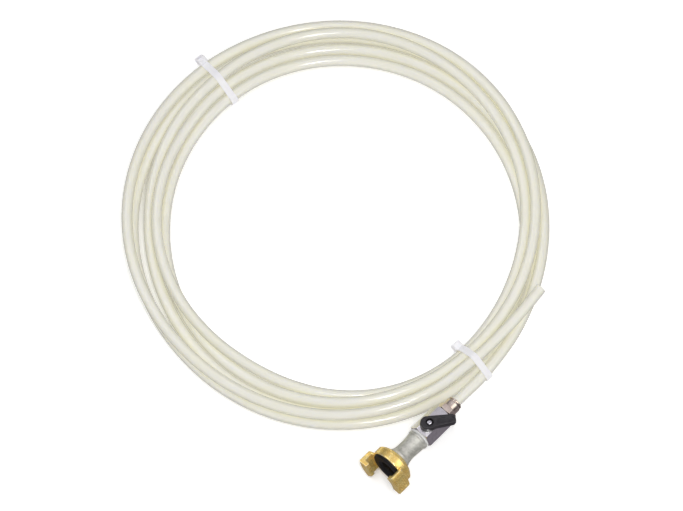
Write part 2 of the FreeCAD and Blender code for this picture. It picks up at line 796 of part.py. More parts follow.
def make_seats(end):
    start, stop, stem = valve_stations()
    ball = size("ball_dia") / 2
    sphere = 7.53
    outer = size("cavity_dia") / 2 - 0.05
    lip, heel = 6.8, 5.0
    lip_x = math.sqrt(sphere ** 2 - lip ** 2)
    heel_x = math.sqrt(sphere ** 2 - heel ** 2)
    back = ball + 1.0
    for label, side in (("ball_seat_inlet", -1), ("ball_seat_outlet", 1)):
        body = new_body(label)
        revolve(body, "section", [
            (stem + back * side, heel), (stem + back * side, outer), (stem + lip_x * side, outer),
            (stem + lip_x * side, lip), (stem + heel_x * side, heel, sphere * side)])
        body.Placement = end


def make_retainer(end):
    start, stop, stem = valve_stations()
    near = stem + size("ball_dia") / 2 + 1.05
    body = ring("seat_retainer", near, near + 4.5, as_size(5.0), size("cavity_dia") / 2 - 0.05,
                end, bevel=0.4)
    checked_cut(body, pocket_outline, "key", "YZ_Plane", hexagon(as_size(11.0)), near + 2,
                as_size(3.0))


def make_ball(stem_place):
    ball = size("ball_dia") / 2
    bore = size("ball_bore_dia") / 2
    body = new_body("valve_ball")
    end_x = math.sqrt(ball.value ** 2 - bore.value ** 2)
    revolve(body, "section", [(end_x, bore), (-end_x, bore, -ball)])
    slot = [(-8, -1.6), (8, -1.6), (8, 1.6), (-8, 1.6)]
    checked_cut(body, pocket_outline, "slot", "XY_Plane", slot, size("ball_dia") / 2 - 2,
                as_size(3.0))
    body.Placement = stem_place


def make_stem(stem_place):
    shank = size("stem_dia") / 2
    collar = size("collar_dia") / 2
    low = size("collar_bottom")
    shoulder = low + size("collar_thick")
    top = size("stem_top")
    screw = size("screw_dia") / 2 + 0.05
    groove = 3.0
    body = new_body("valve_stem")
    revolve(body, "section", [
        (0, low), (collar, low), (collar, shoulder), (shank, shoulder), (shank, 11.6),
        (groove, 11.6), (groove, 13.2), (shank, 13.2), (shank, top - 0.4), (shank - 0.4, top),
        (screw, top), (screw, top - 8), (0, top - 8)], axis="V_Axis")
    pad(body, "tang", "XY_Plane", [(-2.7, -1.5), (2.7, -1.5), (2.7, 1.5), (-2.7, 1.5)],
        as_size(5.7), low - 5.6)
    flat = size("stem_flats") / 2
    for name, side in (("flat_left", 1), ("flat_right", -1)):
        near, far = flat * side, as_size(6.0 * side)
        checked_cut(body, pocket_outline, name, "XY_Plane",
                    [(-5, near), (5, near), (5, far), (-5, far)], size("boss_top"), as_size(8.0))
    body.Placement = stem_place


def turned_in_stem(label, points, place):
    body = new_body(label)
    revolve(body, "section", points, axis="V_Axis")
    body.Placement = place
    return body


def make_stem_seals(stem_place):
    low = size("collar_bottom") + size("collar_thick") + 0.02
    high = low + 0.85
    inner = size("stem_dia") / 2 + 0.06
    outer = size("collar_dia") / 2
    turned_in_stem("stem_thrust_washer", [(inner, low), (outer, low), (outer, high),
                                          (inner, high)], stem_place)
    o_ring("stem_o_ring", 3.52, 0.48, Vector(0, 0, 12.4), Vector(0, 0, 1), stem_place)


def o_ring(label, ring_radius, cord_radius, centre, axis, place):
    ring_object = doc.addObject("Part::Torus", label)
    ring_object.Label = label
    ring_object.Radius1 = ring_radius
    ring_object.Radius2 = cord_radius
    ring_object.Placement = place * Placement(centre, Rotation(Vector(0, 0, 1), axis))
    nodes.append(ring_object)


def make_lever(stem_place):
    """A moulded lever: a round hub that tapers to a blunt tip, screwed down in a recess."""
    low = size("lever_bottom")
    high = size("lever_top")
    tail = size("lever_tail")
    reach = size("lever_reach")
    hub = size("lever_hub_width") / 2
    tip = size("lever_tip_width") / 2
    corner = 2.4
    body = new_body("lever")
    arm = pad(body, "outline", "XY_Plane", [
        (-tail + hub, -hub, -hub), (3.4, -hub), (9.5, -tip - 0.6, 9.0),
        (reach - corner, -tip + 0.3),
        (reach, -tip + corner), (reach, tip - corner), (reach - corner, tip),
        (-tail + hub, hub), (-tail, 0, -hub)], low, high - low)
    doc.recompute()
    rim = ["Edge{}".format(i + 1) for i, e in enumerate(body.Shape.Edges)
           if all(abs(v.Z - high.value) < 1e-6 for v in e.Vertexes)]
    fillet = body.newObject("PartDesign::Fillet", "lever_rim_fillet")
    fillet.Base = (arm, rim)
    fillet.Radius = 1.1
    recess_floor = size("stem_top") + 0.2
    checked_cut(body, pocket_circle, "recess", "XY_Plane", (0, 0), size("lever_recess_dia") / 2,
                recess_floor, as_size(6.0))
    hole = size("stem_dia") / 2 + 0.05
    flat = size("stem_flats") / 2 + 0.05
    run = math.sqrt(hole.value ** 2 - flat.value ** 2)
    checked_cut(body, pocket_outline, "stem_hole", "XY_Plane", [
        (-run, -flat, -hole), (run, -flat), (run, flat, -hole), (-run, flat)],
        low - 1, as_size(8.0))
    make_grip(body, high)
    body.Placement = stem_place


def make_grip(body, high):
    """Shallow groove along the arm, which leaves a raised rim for the finger."""
    checked_cut(body, pocket_outline, "finger_groove", "XY_Plane", [
        (10.5, -2.6, -3.2), (25.0, -2.4), (25.0, 2.4, -2.6), (10.5, 2.6)],
        high - 0.8, as_size(2.0))


def make_lever_screw(stem_place):
    seat = size("stem_top") + 0.22
    washer_top = seat + 0.6
    shank = size("screw_dia") / 2
    head = size("screw_head_dia") / 2
    head_top = washer_top + 0.02 + 1.9
    turned_in_stem("lever_washer", [(shank + 0.1, seat), (3.9, seat), (3.9, washer_top),
                                    (shank + 0.1, washer_top)], stem_place)
    under = washer_top + 0.02
    body = new_body("lever_screw")
    revolve(body, "section", [
        (0, 12.4), (shank - 0.4, 12.4), (shank, 12.8), (shank, under), (head, under),
        (head, head_top - 1.0), (head - 1.3, head_top, -1.6), (0, head_top)], axis="V_Axis")
    checked_cut(body, pocket_outline, "socket", "XY_Plane", hexagon(as_size(2.5)),
                head_top - 1.3, as_size(2.0))
    body.Placement = stem_place


# ---------------------------------------------------------------- push-in fitting

def fitting_start():
    start, stop, stem = valve_stations()
    return stop + size("washer_thick") + 0.04


def make_fitting_body(end):
    start, stop, stem = valve_stations()
    face = fitting_start()
    hex_end = face + size("fitting_hex_length")
    mouth = hex_end + size("fitting_sleeve_length")
    flats = size("fitting_flats")
    corner = flats / math.sqrt(3)
    sleeve = size("fitting_sleeve_dia") / 2
    stub = size("cavity_dia") / 2 - 0.1
    bore = size("hose_bore_dia") / 2
    pocket = size("tube_pocket_dia") / 2
    tube_stop = stop - 3.02
    release = size("release_dia") / 2 + 0.05
    groove = 7.6
    body = new_body("fitting_body")
    pad(body, "hexagon", "YZ_Plane", hexagon(flats), face, size("fitting_hex_length"))
    revolve(body, "barrel", [
        (stop - 9, 0), (stop - 9, stub - 0.6), (stop - 8.4, stub), (face + 1, stub),
        (face + 1, sleeve), (mouth - 1.2, sleeve), (mouth, sleeve - 1.2, 1.25), (mouth, 0)])
    skirt = corner + 1
    for name, x, way in (("bevel_near", face, 1), ("bevel_far", hex_end, -1)):
        points = [(x - way * 0.01, flats / 2 - 0.2), (x - way * 0.01, skirt),
                  (x + way * 0.8, skirt), (x + way * 0.8, corner + 0.05)]
        checked_cut(body, revolve, name, points, cut=True)
    checked_cut(body, revolve, "bore", [
        (stop - 9.5, 0), (stop - 9.5, bore), (tube_stop, bore), (tube_stop, pocket),
        (face + 2.6, pocket), (face + 2.6, groove), (face + 4.4, groove), (face + 4.4, pocket),
        (face + 6.4, pocket), (face + 6.4, groove), (face + 10.0, groove),
        (face + 10.0, release), (mouth + 0.5, release), (mouth + 0.5, 0)], cut=True)
    body.Placement = end


def make_fitting_insides(end):
    start, stop, stem = valve_stations()
    face = fitting_start()
    stub = size("cavity_dia") / 2 - 0.1
    ring("fitting_seal_washer", stop + 0.02, stop + 0.02 + size("washer_thick"), stub + 0.15,
         size("fitting_flats") / 2 - 0.1, end, bevel=0.2)
    along = Vector(1, 0, 0)
    o_ring("tube_o_ring", 6.82, 0.75, Vector(face.value + 3.5, 0, 0), along, end)
    make_grab_ring(end, face + 6.9)
    near = size("socket_length") + size("ring_thick") + size("valve_length") - 2.6
    sleeve = size("hose_bore_dia") / 2 - 0.06
    ring("tube_support_sleeve", near, near + 19.0, sleeve - size("sleeve_thick"), sleeve, end)
    make_release_ring(end, face)


def make_grab_ring(end, near):
    """A dished spring washer whose inner edge is split into teeth that hold the hose."""
    body = new_body("grab_ring")
    revolve(body, "section", [
        (near, 6.05), (near + 0.4, 6.05), (near + 1.0, 6.9), (near + 1.0, 7.5),
        (near + 0.6, 7.5), (near + 0.6, 7.0)])
    slit = checked_cut(body, pocket_outline, "slit", "YZ_Plane",
                       [(-0.3, 5.5), (0.3, 5.5), (0.3, 6.8), (-0.3, 6.8)], near - 1,
                       as_size(3.0))
    sketch_axis = slit.Profile[0]
    pattern = body.newObject("PartDesign::PolarPattern", "grab_ring_slits")
    pattern.Originals = [slit]
    pattern.Axis = (sketch_axis, ["N_Axis"])
    pattern.Angle = 360
    pattern.Occurrences = 12
    body.Tip = pattern
    body.Placement = end


def make_release_ring(end, face):
    mouth = face + size("fitting_hex_length") + size("fitting_sleeve_length")
    flange_start = mouth + size("release_travel")
    flange_stop = flange_start + 1.6
    inner = size("release_bore_dia") / 2
    outer = size("release_dia") / 2
    flange = size("release_flange_dia") / 2
    nose = face + 9.4
    body = new_body("release_ring")
    revolve(body, "section", [
        (nose, inner), (nose, outer - 0.5), (nose + 1.0, outer), (flange_start, outer),
        (flange_start, flange), (flange_stop - 0.5, flange), (flange_stop, flange - 0.5, 0.55),
        (flange_stop, inner + 0.4), (flange_stop - 0.4, inner)])
    body.Placement = end


# ---------------------------------------------------------------- the whole object

def make_rings(end):
    bore = size("thread_bore_dia") / 2
    stub = size("thread_stub_dia") / 2
    length = size("socket_length")
    thread = size("thread_length")
    gap = size("seat_gap")
    ring("coupling_thread_tape", as_size(1.2), thread - 1.2, stub + 0.03, bore - 0.05, end)
    ring("valve_thread_tape", length - thread + 1.2, length - 1.2, stub + 0.03, bore - 0.05, end)
    ring("socket_seal_ring", length + gap, length + size("ring_thick"), bore + 0.1,
         size("socket_rim_dia") / 2 - 0.15, end, bevel=0.3)


def check_document():
    doc.recompute()
    for item in doc.Objects:
        if "Invalid" in item.State or "Error" in item.State:
            raise RuntimeError("{} is {}".format(item.Name, item.State))
    for node in nodes:
        shape = node.Shape
        if shape.isNull() or not shape.isValid() or shape.Volume <= 0:
            raise RuntimeError(node.Label + " has no sound shape")
        if len(shape.Solids) != 1:
            raise RuntimeError(node.Label + " is in pieces")


def main():
    fill_sheet()
    end = end_frame()
    stem_place = stem_frame(end)
    coil, edges = make_hose(end)
    make_tie("cable_tie_lower_right", value("tie_angle_a"), 166, coil)
    make_tie("cable_tie_upper_left", value("tie_angle_b"), 32, coil)
    make_socket(end)
    make_rings(end)
    make_coupling_body(end)
    make_coupling_seal(end)
    make_valve_body(end)
    make_seats(end)
    make_retainer(end)
    make_ball(stem_place)
    make_stem(stem_place)
    make_stem_seals(stem_place)
    make_lever(stem_place)
    make_lever_screw(stem_place)
    make_fitting_body(end)
    make_fitting_insides(end)
    check_document()
    os.makedirs("parts", exist_ok=True)
    for node in nodes:
        node.Shape.exportStep("parts/{}.step".format(node.Label))


main()
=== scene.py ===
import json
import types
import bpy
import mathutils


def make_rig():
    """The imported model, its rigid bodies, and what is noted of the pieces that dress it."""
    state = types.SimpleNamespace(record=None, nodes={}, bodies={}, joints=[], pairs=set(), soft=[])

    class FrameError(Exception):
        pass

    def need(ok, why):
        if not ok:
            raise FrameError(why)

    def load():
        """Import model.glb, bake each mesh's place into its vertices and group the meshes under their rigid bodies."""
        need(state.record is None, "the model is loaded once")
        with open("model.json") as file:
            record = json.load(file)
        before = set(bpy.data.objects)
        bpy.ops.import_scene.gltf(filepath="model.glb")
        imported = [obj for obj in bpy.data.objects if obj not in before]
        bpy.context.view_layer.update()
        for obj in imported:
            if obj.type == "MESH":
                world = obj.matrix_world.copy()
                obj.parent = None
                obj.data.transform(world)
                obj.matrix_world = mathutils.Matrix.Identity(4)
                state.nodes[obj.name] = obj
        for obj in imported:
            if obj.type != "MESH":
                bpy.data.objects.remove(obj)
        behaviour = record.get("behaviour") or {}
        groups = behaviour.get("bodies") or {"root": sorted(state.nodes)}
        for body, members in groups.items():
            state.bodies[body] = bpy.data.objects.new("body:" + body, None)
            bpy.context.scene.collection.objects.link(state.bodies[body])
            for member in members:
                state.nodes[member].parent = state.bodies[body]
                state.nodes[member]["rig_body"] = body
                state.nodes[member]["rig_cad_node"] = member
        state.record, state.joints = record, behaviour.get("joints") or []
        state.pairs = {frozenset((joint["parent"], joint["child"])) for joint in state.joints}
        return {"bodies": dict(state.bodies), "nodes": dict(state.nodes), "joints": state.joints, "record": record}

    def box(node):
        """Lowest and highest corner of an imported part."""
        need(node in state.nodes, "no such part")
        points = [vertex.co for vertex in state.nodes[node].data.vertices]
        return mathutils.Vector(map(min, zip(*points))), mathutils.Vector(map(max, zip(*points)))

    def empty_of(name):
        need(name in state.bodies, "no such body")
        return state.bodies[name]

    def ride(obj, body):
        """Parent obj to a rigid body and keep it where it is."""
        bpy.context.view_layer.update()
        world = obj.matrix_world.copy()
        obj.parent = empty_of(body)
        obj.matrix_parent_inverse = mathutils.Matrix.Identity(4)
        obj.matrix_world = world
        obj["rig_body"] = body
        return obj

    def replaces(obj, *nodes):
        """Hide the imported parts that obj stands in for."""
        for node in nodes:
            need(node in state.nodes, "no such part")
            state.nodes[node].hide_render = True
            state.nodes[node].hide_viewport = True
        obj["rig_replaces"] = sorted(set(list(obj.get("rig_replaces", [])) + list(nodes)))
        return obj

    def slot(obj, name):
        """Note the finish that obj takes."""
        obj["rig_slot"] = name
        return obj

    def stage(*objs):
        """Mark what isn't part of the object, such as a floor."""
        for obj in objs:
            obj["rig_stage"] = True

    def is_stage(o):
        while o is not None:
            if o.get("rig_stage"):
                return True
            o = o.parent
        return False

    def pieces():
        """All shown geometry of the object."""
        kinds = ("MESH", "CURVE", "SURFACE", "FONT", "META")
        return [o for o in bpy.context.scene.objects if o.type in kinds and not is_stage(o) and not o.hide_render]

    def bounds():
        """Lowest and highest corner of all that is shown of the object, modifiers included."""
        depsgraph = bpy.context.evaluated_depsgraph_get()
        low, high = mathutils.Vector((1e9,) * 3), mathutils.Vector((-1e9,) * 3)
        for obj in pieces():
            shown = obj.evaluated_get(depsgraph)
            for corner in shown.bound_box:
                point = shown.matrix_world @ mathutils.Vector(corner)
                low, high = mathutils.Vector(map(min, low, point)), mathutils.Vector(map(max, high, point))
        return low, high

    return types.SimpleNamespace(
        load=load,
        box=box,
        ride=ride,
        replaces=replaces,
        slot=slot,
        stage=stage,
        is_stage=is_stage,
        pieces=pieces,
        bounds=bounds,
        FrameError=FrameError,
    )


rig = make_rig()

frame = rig.load()
cad_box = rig.bounds()

import json
import math

import bmesh
import bpy
from mathutils import Vector, noise

# A coiled, milky siphon hose with a push-in fitting, a ball valve, a pipe socket and a claw
# coupling.  Pieces are placed by the frame, in metres; sizes are written in millimetres.
MM = 0.001
HOSE_RADIUS = 6.0 * MM
HOSE_BORE_RADIUS = 4.5 * MM
WELD = 0.001 * MM  # corners closer than this are one
ANY_ANGLE = 3.1  # radians: join triangles into quads across any bend


# ---------------------------------------------------------------- node helpers

class Shader:
    """A node material with short calls for the nodes that every material here needs."""

    def __init__(self, name):
        self.material = bpy.data.materials.new(name)
        self.material.use_nodes = True
        self.nodes = self.material.node_tree.nodes
        self.links = self.material.node_tree.links
        self.surface = self.nodes["Principled BSDF"]
        self.place = self.add("ShaderNodeTexCoord").outputs["Object"]

    def add(self, kind, **settings):
        node = self.nodes.new(kind)
        for key, setting in settings.items():
            setattr(node, key, setting)
        return node

    def put(self, socket, source):
        """Feed a socket from another socket or with a fixed value."""
        if isinstance(source, bpy.types.NodeSocket):
            self.links.new(source, socket)
        elif isinstance(source, tuple) and len(source) == 3 and socket.type == "RGBA":
            socket.default_value = (*source, 1.0)
        else:
            socket.default_value = source

    def noise(self, scale, detail=3.0, rough=0.5, place=None):
        node = self.add("ShaderNodeTexNoise")
        self.put(node.inputs["Vector"], place or self.place)
        self.put(node.inputs["Scale"], scale)
        self.put(node.inputs["Detail"], detail)
        self.put(node.inputs["Roughness"], rough)
        return node.outputs["Fac"]

    def cells(self, scale, feature="F1", output="Color"):
        node = self.add("ShaderNodeTexVoronoi", feature=feature)
        self.put(node.inputs["Vector"], self.place)
        self.put(node.inputs["Scale"], scale)
        return node.outputs[output]

    def stretch(self, factors):
        node = self.add("ShaderNodeMapping")
        self.put(node.inputs["Vector"], self.place)
        self.put(node.inputs["Scale"], factors)
        return node.outputs["Vector"]

    def spread(self, source, low, high, to_low=0.0, to_high=1.0):
        node = self.add("ShaderNodeMapRange")
        self.put(node.inputs["Value"], source)
        for key, number in (("From Min", low), ("From Max", high), ("To Min", to_low),
                            ("To Max", to_high)):
            self.put(node.inputs[key], number)
        return node.outputs["Result"]

    def mix(self, share, first, second, blend="MIX"):
        node = self.add("ShaderNodeMix", data_type="RGBA", blend_type=blend)
        self.put(node.inputs["Factor"], share)
        self.put(node.inputs[6], first)
        self.put(node.inputs[7], second)
        return node.outputs[2]

    def sums(self, operation, first, second=0.0):
        node = self.add("ShaderNodeMath", operation=operation)
        self.put(node.inputs[0], first)
        self.put(node.inputs[1], second)
        return node.outputs[0]

    def crevice(self, distance):
        """0 in narrow gaps and 1 in the open."""
        node = self.add("ShaderNodeAmbientOcclusion", samples=8)
        self.put(node.inputs["Distance"], distance)
        return node.outputs["AO"]

    def edges(self, low=0.52, high=0.6):
        """1 on sharp convex edges, where a finish wears first."""
        pointed = self.add("ShaderNodeNewGeometry").outputs["Pointiness"]
        return self.spread(pointed, low, high)

    def rim(self, blend=0.5):
        node = self.add("ShaderNodeLayerWeight")
        self.put(node.inputs["Blend"], blend)
        return node.outputs["Facing"]

    def bump(self, height, depth, strength=1.0, below=None):
        node = self.add("ShaderNodeBump")
        self.put(node.inputs["Height"], height)
        self.put(node.inputs["Distance"], depth)
        self.put(node.inputs["Strength"], strength)
        if below is not None:
            self.put(node.inputs["Normal"], below)
        return node.outputs["Normal"]

    def light_path(self, output):
        return self.add("ShaderNodeLightPath").outputs[output]

    def glow(self, colour, strength=1.0):
        node = self.add("ShaderNodeEmission")
        self.put(node.inputs["Color"], colour)
        self.put(node.inputs["Strength"], strength)
        return node.outputs[0]

    def lay_over(self, share, under):
        """Show another shader instead of the present surface by a share from 0 to 1."""
        out = self.nodes["Material Output"].inputs["Surface"]
        above = out.links[0].from_socket
        node = self.add("ShaderNodeMixShader")
        self.put(node.inputs[0], share)
        self.links.new(above, node.inputs[1])
        self.links.new(under, node.inputs[2])
        self.links.new(node.outputs[0], out)

    def finish(self, **inputs):
        for key, source in inputs.items():
            self.put(self.surface.inputs[key.replace("_", " ")], source)
        return self.material


# ---------------------------------------------------------------- materials

def hose_plastic(middle):
    """Milky soft PVC: cream where it faces the eye, greyer towards its rims by painted shade and
    clearer there, olive painted shade in the gaps between turns, and a faint painted glow."""
    shader = Shader("hose_pvc")
    apart = shader.add("ShaderNodeSeparateXYZ")
    from_middle = shader.add("ShaderNodeVectorMath", operation="SUBTRACT")
    shader.put(from_middle.inputs[0], shader.place)
    shader.put(from_middle.inputs[1], tuple(middle))
    shader.put(apart.inputs[0], from_middle.outputs[0])
    clock = shader.sums("ARCTAN2", apart.outputs["Y"], apart.outputs["X"])
    squares = shader.sums("ADD", shader.sums("POWER", apart.outputs["X"], 2.0),
                          shader.sums("POWER", apart.outputs["Y"], 2.0))
    around = shader.add("ShaderNodeCombineXYZ")
    lengthwise = 0.03
    shader.put(around.inputs["X"], shader.sums("MULTIPLY", clock, lengthwise))
    shader.put(around.inputs["Y"], shader.sums("SQRT", squares))
    shader.put(around.inputs["Z"], apart.outputs["Z"])
    drawn = shader.noise(230.0, 2.0, 0.4, around.outputs[0])
    clouds = shader.noise(22.0, 2.0)
    facing = shader.rim(0.5)
    warm_cream = (0.875, 0.86, 0.765)
    cool_cream = (0.865, 0.855, 0.80)
    drawn_line = (0.83, 0.818, 0.735)
    # painted shade: the tube greys towards its rims, where it turns away from the eye
    rim_shade_grey = (0.54, 0.545, 0.56)
    # painted shade: olive in the narrow gaps between the turns, from the crevice mask
    olive = (0.74, 0.72, 0.60)
    cream = shader.mix(shader.spread(clouds, 0.35, 0.65), warm_cream, cool_cream)
    cream = shader.mix(shader.spread(drawn, 0.3, 0.7, 0.0, 0.3), cream, drawn_line)
    rim_shaded = shader.mix(shader.spread(facing, 0.08, 0.75), cream, rim_shade_grey)
    gap = shader.spread(shader.crevice(10 * MM), 0.0, 0.85)
    colour = shader.mix(gap, olive, rim_shaded)
    haze = shader.noise(160.0, 4.0)
    normal = shader.bump(drawn, 0.05 * MM, 0.35)
    # painted glow: the hose glows a little all over and more in the gaps between turns
    glow = shader.spread(gap, 0.0, 1.0, 0.26, 0.14)
    shader.finish(
        Base_Color=colour, Roughness=shader.spread(haze, 0.3, 0.7, 0.09, 0.17), IOR=1.53,
        Subsurface_Weight=0.6, Subsurface_Radius=(1.0, 0.95, 0.7), Subsurface_Scale=5 * MM,
        Emission_Color=colour, Emission_Strength=glow, Normal=normal)
    clear = shader.add("ShaderNodeBsdfTransparent")
    shader.put(clear.inputs["Color"], (0.96, 0.958, 0.92))
    clear_middle, clear_rim = 0.10, 0.50
    clearness = shader.spread(facing, 0.1, 0.7, clear_middle, clear_rim)
    shader.lay_over(clearness, clear.outputs[0])
    return shader.material


def nylon():
    """Satin white nylon with a faint moulded grain, cloudy whites, greyer corners by painted
    shade and a faint painted glow.
    """
    shader = Shader("nylon")
    grain = shader.noise(2600.0, 3.0, 0.6)
    clouds = shader.noise(90.0, 2.0)
    # painted shade: grey in corners and narrow gaps
    gap = shader.spread(shader.crevice(2.5 * MM), 0.1, 0.8)
    thick_white = (0.87, 0.86, 0.90)
    thin_white = (0.91, 0.905, 0.93)
    corner_shade_grey = (0.66, 0.65, 0.68)
    tint = shader.mix(shader.spread(clouds, 0.3, 0.7), thick_white, thin_white)
    colour = shader.mix(gap, corner_shade_grey, tint)
    # painted glow: the nylon glows a little though it is no lamp
    return shader.finish(
        Base_Color=colour, Roughness=shader.spread(grain, 0.3, 0.7, 0.34, 0.48), IOR=1.53,
        Subsurface_Weight=0.5, Subsurface_Radius=(1.0, 0.95, 0.9), Subsurface_Scale=1.5 * MM,
        Emission_Color=colour, Emission_Strength=0.12, Normal=shader.bump(grain, 0.03 * MM, 0.5))


def galvanised_iron():
    """Hot-dip zinc on malleable iron: mottled grey-green, matte, with a lumpy cast skin and
    painted shade in its creases.
    """
    shader = Shader("galvanised_iron")
    patches = shader.noise(190.0, 4.0, 0.65)
    spangle = shader.cells(330.0, output="Distance")
    pits = shader.noise(1500.0, 4.0, 0.65)
    lumps = shader.noise(260.0, 3.0)
    dark_zinc = (0.42, 0.425, 0.36)
    pale_zinc = (0.74, 0.74, 0.665)
    flake = (0.78, 0.78, 0.74)
    pit = (0.22, 0.225, 0.19)
    rubbed = (0.82, 0.82, 0.79)
    crevice_shade_dark = (0.17, 0.17, 0.14)
    grey = shader.mix(shader.spread(patches, 0.35, 0.65), dark_zinc, pale_zinc)
    grey = shader.mix(shader.spread(spangle, 0.0, 0.8, 0.0, 0.35), grey, flake)
    grey = shader.mix(shader.spread(pits, 0.6, 0.8, 0.0, 0.6), grey, pit)
    worn = shader.mix(shader.edges(0.505, 0.54), grey, rubbed)
    # painted shade: near-black in creases and recesses, from the crevice mask
    gap = shader.spread(shader.crevice(3 * MM), 0.1, 0.7)
    colour = shader.mix(gap, crevice_shade_dark, worn)
    normal = shader.bump(lumps, 0.35 * MM, 0.5, shader.bump(pits, 0.10 * MM, 0.7))
    return shader.finish(
        Base_Color=colour, Metallic=0.5, Roughness=shader.spread(patches, 0.3, 0.7, 0.40, 0.6),
        Normal=normal)


def cast_brass():
    """Golden brass: a fine cast skin, paler edges that are partly rubbed and partly a painted
    highlight, brown painted shade in the corners and a faint painted glow.
    """
    shader = Shader("brass")
    skin = shader.noise(1900.0, 4.0, 0.65)
    patches = shader.noise(150.0, 3.0)
    waves = shader.noise(420.0, 2.0)
    deep_gold = (0.95, 0.63, 0.16)
    light_gold = (1.0, 0.80, 0.30)
    rubbed = (1.0, 0.94, 0.62)
    brown = (0.28, 0.14, 0.02)
    gold = shader.mix(shader.spread(patches, 0.3, 0.7), deep_gold, light_gold)
    # pale edges: partly rubbed wear and partly a painted highlight along the edges
    gold = shader.mix(shader.edges(0.512, 0.545), gold, rubbed)
    # painted shade: brown in corners and creases, from the crevice mask
    gap = shader.spread(shader.crevice(5 * MM), 0.1, 0.8)
    colour = shader.mix(gap, brown, gold)
    rough = shader.spread(skin, 0.3, 0.7, 0.16, 0.32)
    normal = shader.bump(waves, 0.16 * MM, 0.45, shader.bump(skin, 0.04 * MM, 0.6))
    # painted glow: the brass glows a little though it is no lamp
    return shader.finish(Base_Color=colour, Metallic=0.82, Roughness=rough, Normal=normal,
                         Emission_Color=colour, Emission_Strength=0.12)


def plated(name, first, second, rough_low, rough_high, brush=0.5):
    """Bright plating with fine lengthwise polishing lines, smudges and painted shade in its corners."""
    shader = Shader(name)
    lines = shader.noise(2400.0, 3.0, 0.6, shader.stretch((0.06, 1.0, 1.0)))
    smudges = shader.noise(210.0, 3.0)
    tint = shader.mix(shader.spread(smudges, 0.3, 0.7), first, second)
    # painted shade: darker in corners and narrow gaps, from the crevice mask
    gap = shader.spread(shader.crevice(2.5 * MM), 0.05, 0.7)
    corner_shade_share = 0.35
    corner_shade_tint = tuple(corner_shade_share * c for c in first)
    colour = shader.mix(gap, corner_shade_tint, tint)
    rough = shader.spread(smudges, 0.3, 0.7, rough_low, rough_high)
    normal = shader.bump(lines, 0.02 * MM, brush)
    return shader.finish(Base_Color=colour, Metallic=1.0, Roughness=rough, Normal=normal)


def black_moulding():
    """Glass-filled black plastic: fine leather-like grain, worn greyer along its edges."""
    shader = Shader("black_plastic")
    grain = shader.cells(2300.0, "SMOOTH_F1", "Distance")
    clouds = shader.noise(260.0, 3.0)
    deep_black = (0.012, 0.011, 0.013)
    soft_black = (0.030, 0.027, 0.031)
    worn_grey = (0.11, 0.105, 0.115)
    black = shader.mix(shader.spread(clouds, 0.3, 0.7), deep_black, soft_black)
    colour = shader.mix(shader.sums("MULTIPLY", shader.edges(), 0.5), black, worn_grey)
    rough = shader.spread(clouds, 0.3, 0.7, 0.36, 0.52)
    return shader.finish(Base_Color=colour, Roughness=rough, IOR=1.5,
                         Normal=shader.bump(grain, 0.08 * MM, 0.5))


def rubber():
    """Soft black rubber with a dusty bloom."""
    shader = Shader("black_rubber")
    bloom = shader.noise(700.0, 4.0, 0.6)
    black = (0.006, 0.006, 0.0065)
    dust = (0.022, 0.021, 0.021)
    colour = shader.mix(shader.spread(bloom, 0.4, 0.75, 0.0, 0.5), black, dust)
    return shader.finish(Base_Color=colour, Roughness=shader.spread(bloom, 0.3, 0.7, 0.45, 0.7),
                         IOR=1.35, Normal=shader.bump(bloom, 0.06 * MM, 0.5))


def white_polymer(name, colour, roughness):
    """PTFE or fibre: plain white with a faint pressed texture."""
    shader = Shader(name)
    grain = shader.noise(1600.0, 3.0, 0.6)
    darker = tuple(0.93 * c for c in colour)
    tint = shader.mix(shader.spread(grain, 0.3, 0.7), darker, colour)
    return shader.finish(Base_Color=tint, Roughness=roughness, Subsurface_Weight=0.2,
                         Subsurface_Radius=(1.0, 1.0, 1.0), Subsurface_Scale=1 * MM,
                         Normal=shader.bump(grain, 0.05 * MM, 0.5))


def make_materials(middle):
    """One material for each material slot of the record, and black steel for the washer."""
    return {
        "hose_pvc": hose_plastic(middle),
        "nylon": nylon(),
        "galvanised_iron": galvanised_iron(),
        "brass": cast_brass(),
        "black_rubber": rubber(),
        "black_plastic": black_moulding(),
        "ptfe": white_polymer("ptfe", (0.86, 0.86, 0.84), 0.4),
        "white_seal": white_polymer("white_seal", (0.90, 0.90, 0.89), 0.5),
        "nickel_plate": plated("nickel_plate", (0.75, 0.745, 0.735), (0.87, 0.865, 0.855), 0.13, 0.24),
        "chrome_ball": plated("chrome_ball", (0.80, 0.80, 0.82), (0.88, 0.88, 0.90), 0.04, 0.08, 0.1),
        "steel": plated("steel", (0.62, 0.62, 0.64), (0.78, 0.78, 0.80), 0.16, 0.28),
        "fitting_nickel": plated("fitting_nickel", (0.76, 0.65, 0.53), (0.90, 0.81, 0.69), 0.16, 0.28),
        "black_steel": plated("black_steel", (0.035, 0.033, 0.035), (0.06, 0.058, 0.06), 0.28, 0.42),
    }


# ---------------------------------------------------------------- pieces

def slot_of(node):
    for part in frame["record"]["subparts"]:
        if part["node"] == node:
            return part["material_slot"]
    raise KeyError(node)


def body_of(node):
    for body, members in frame["record"]["behaviour"]["bodies"].items():
        if node in members:
            return body
    raise KeyError(node)


def dress(piece, material):
    piece.data.materials.clear()
    piece.data.materials.append(material)
    for face in piece.data.polygons:
        face.material_index = 0


def welded_copy(node, name):
    """A new mesh that starts as the CAD node's surface, closed along its seams."""
    mesh = bpy.data.meshes.new(name)
    work = bmesh.new()
    work.from_mesh(frame["nodes"][node].data)
    bmesh.ops.remove_doubles(work, verts=work.verts, dist=WELD)
    work.to_mesh(mesh)
    work.free()
    piece = bpy.data.objects.new(name, mesh)
    bpy.context.scene.collection.objects.link(piece)
    return piece


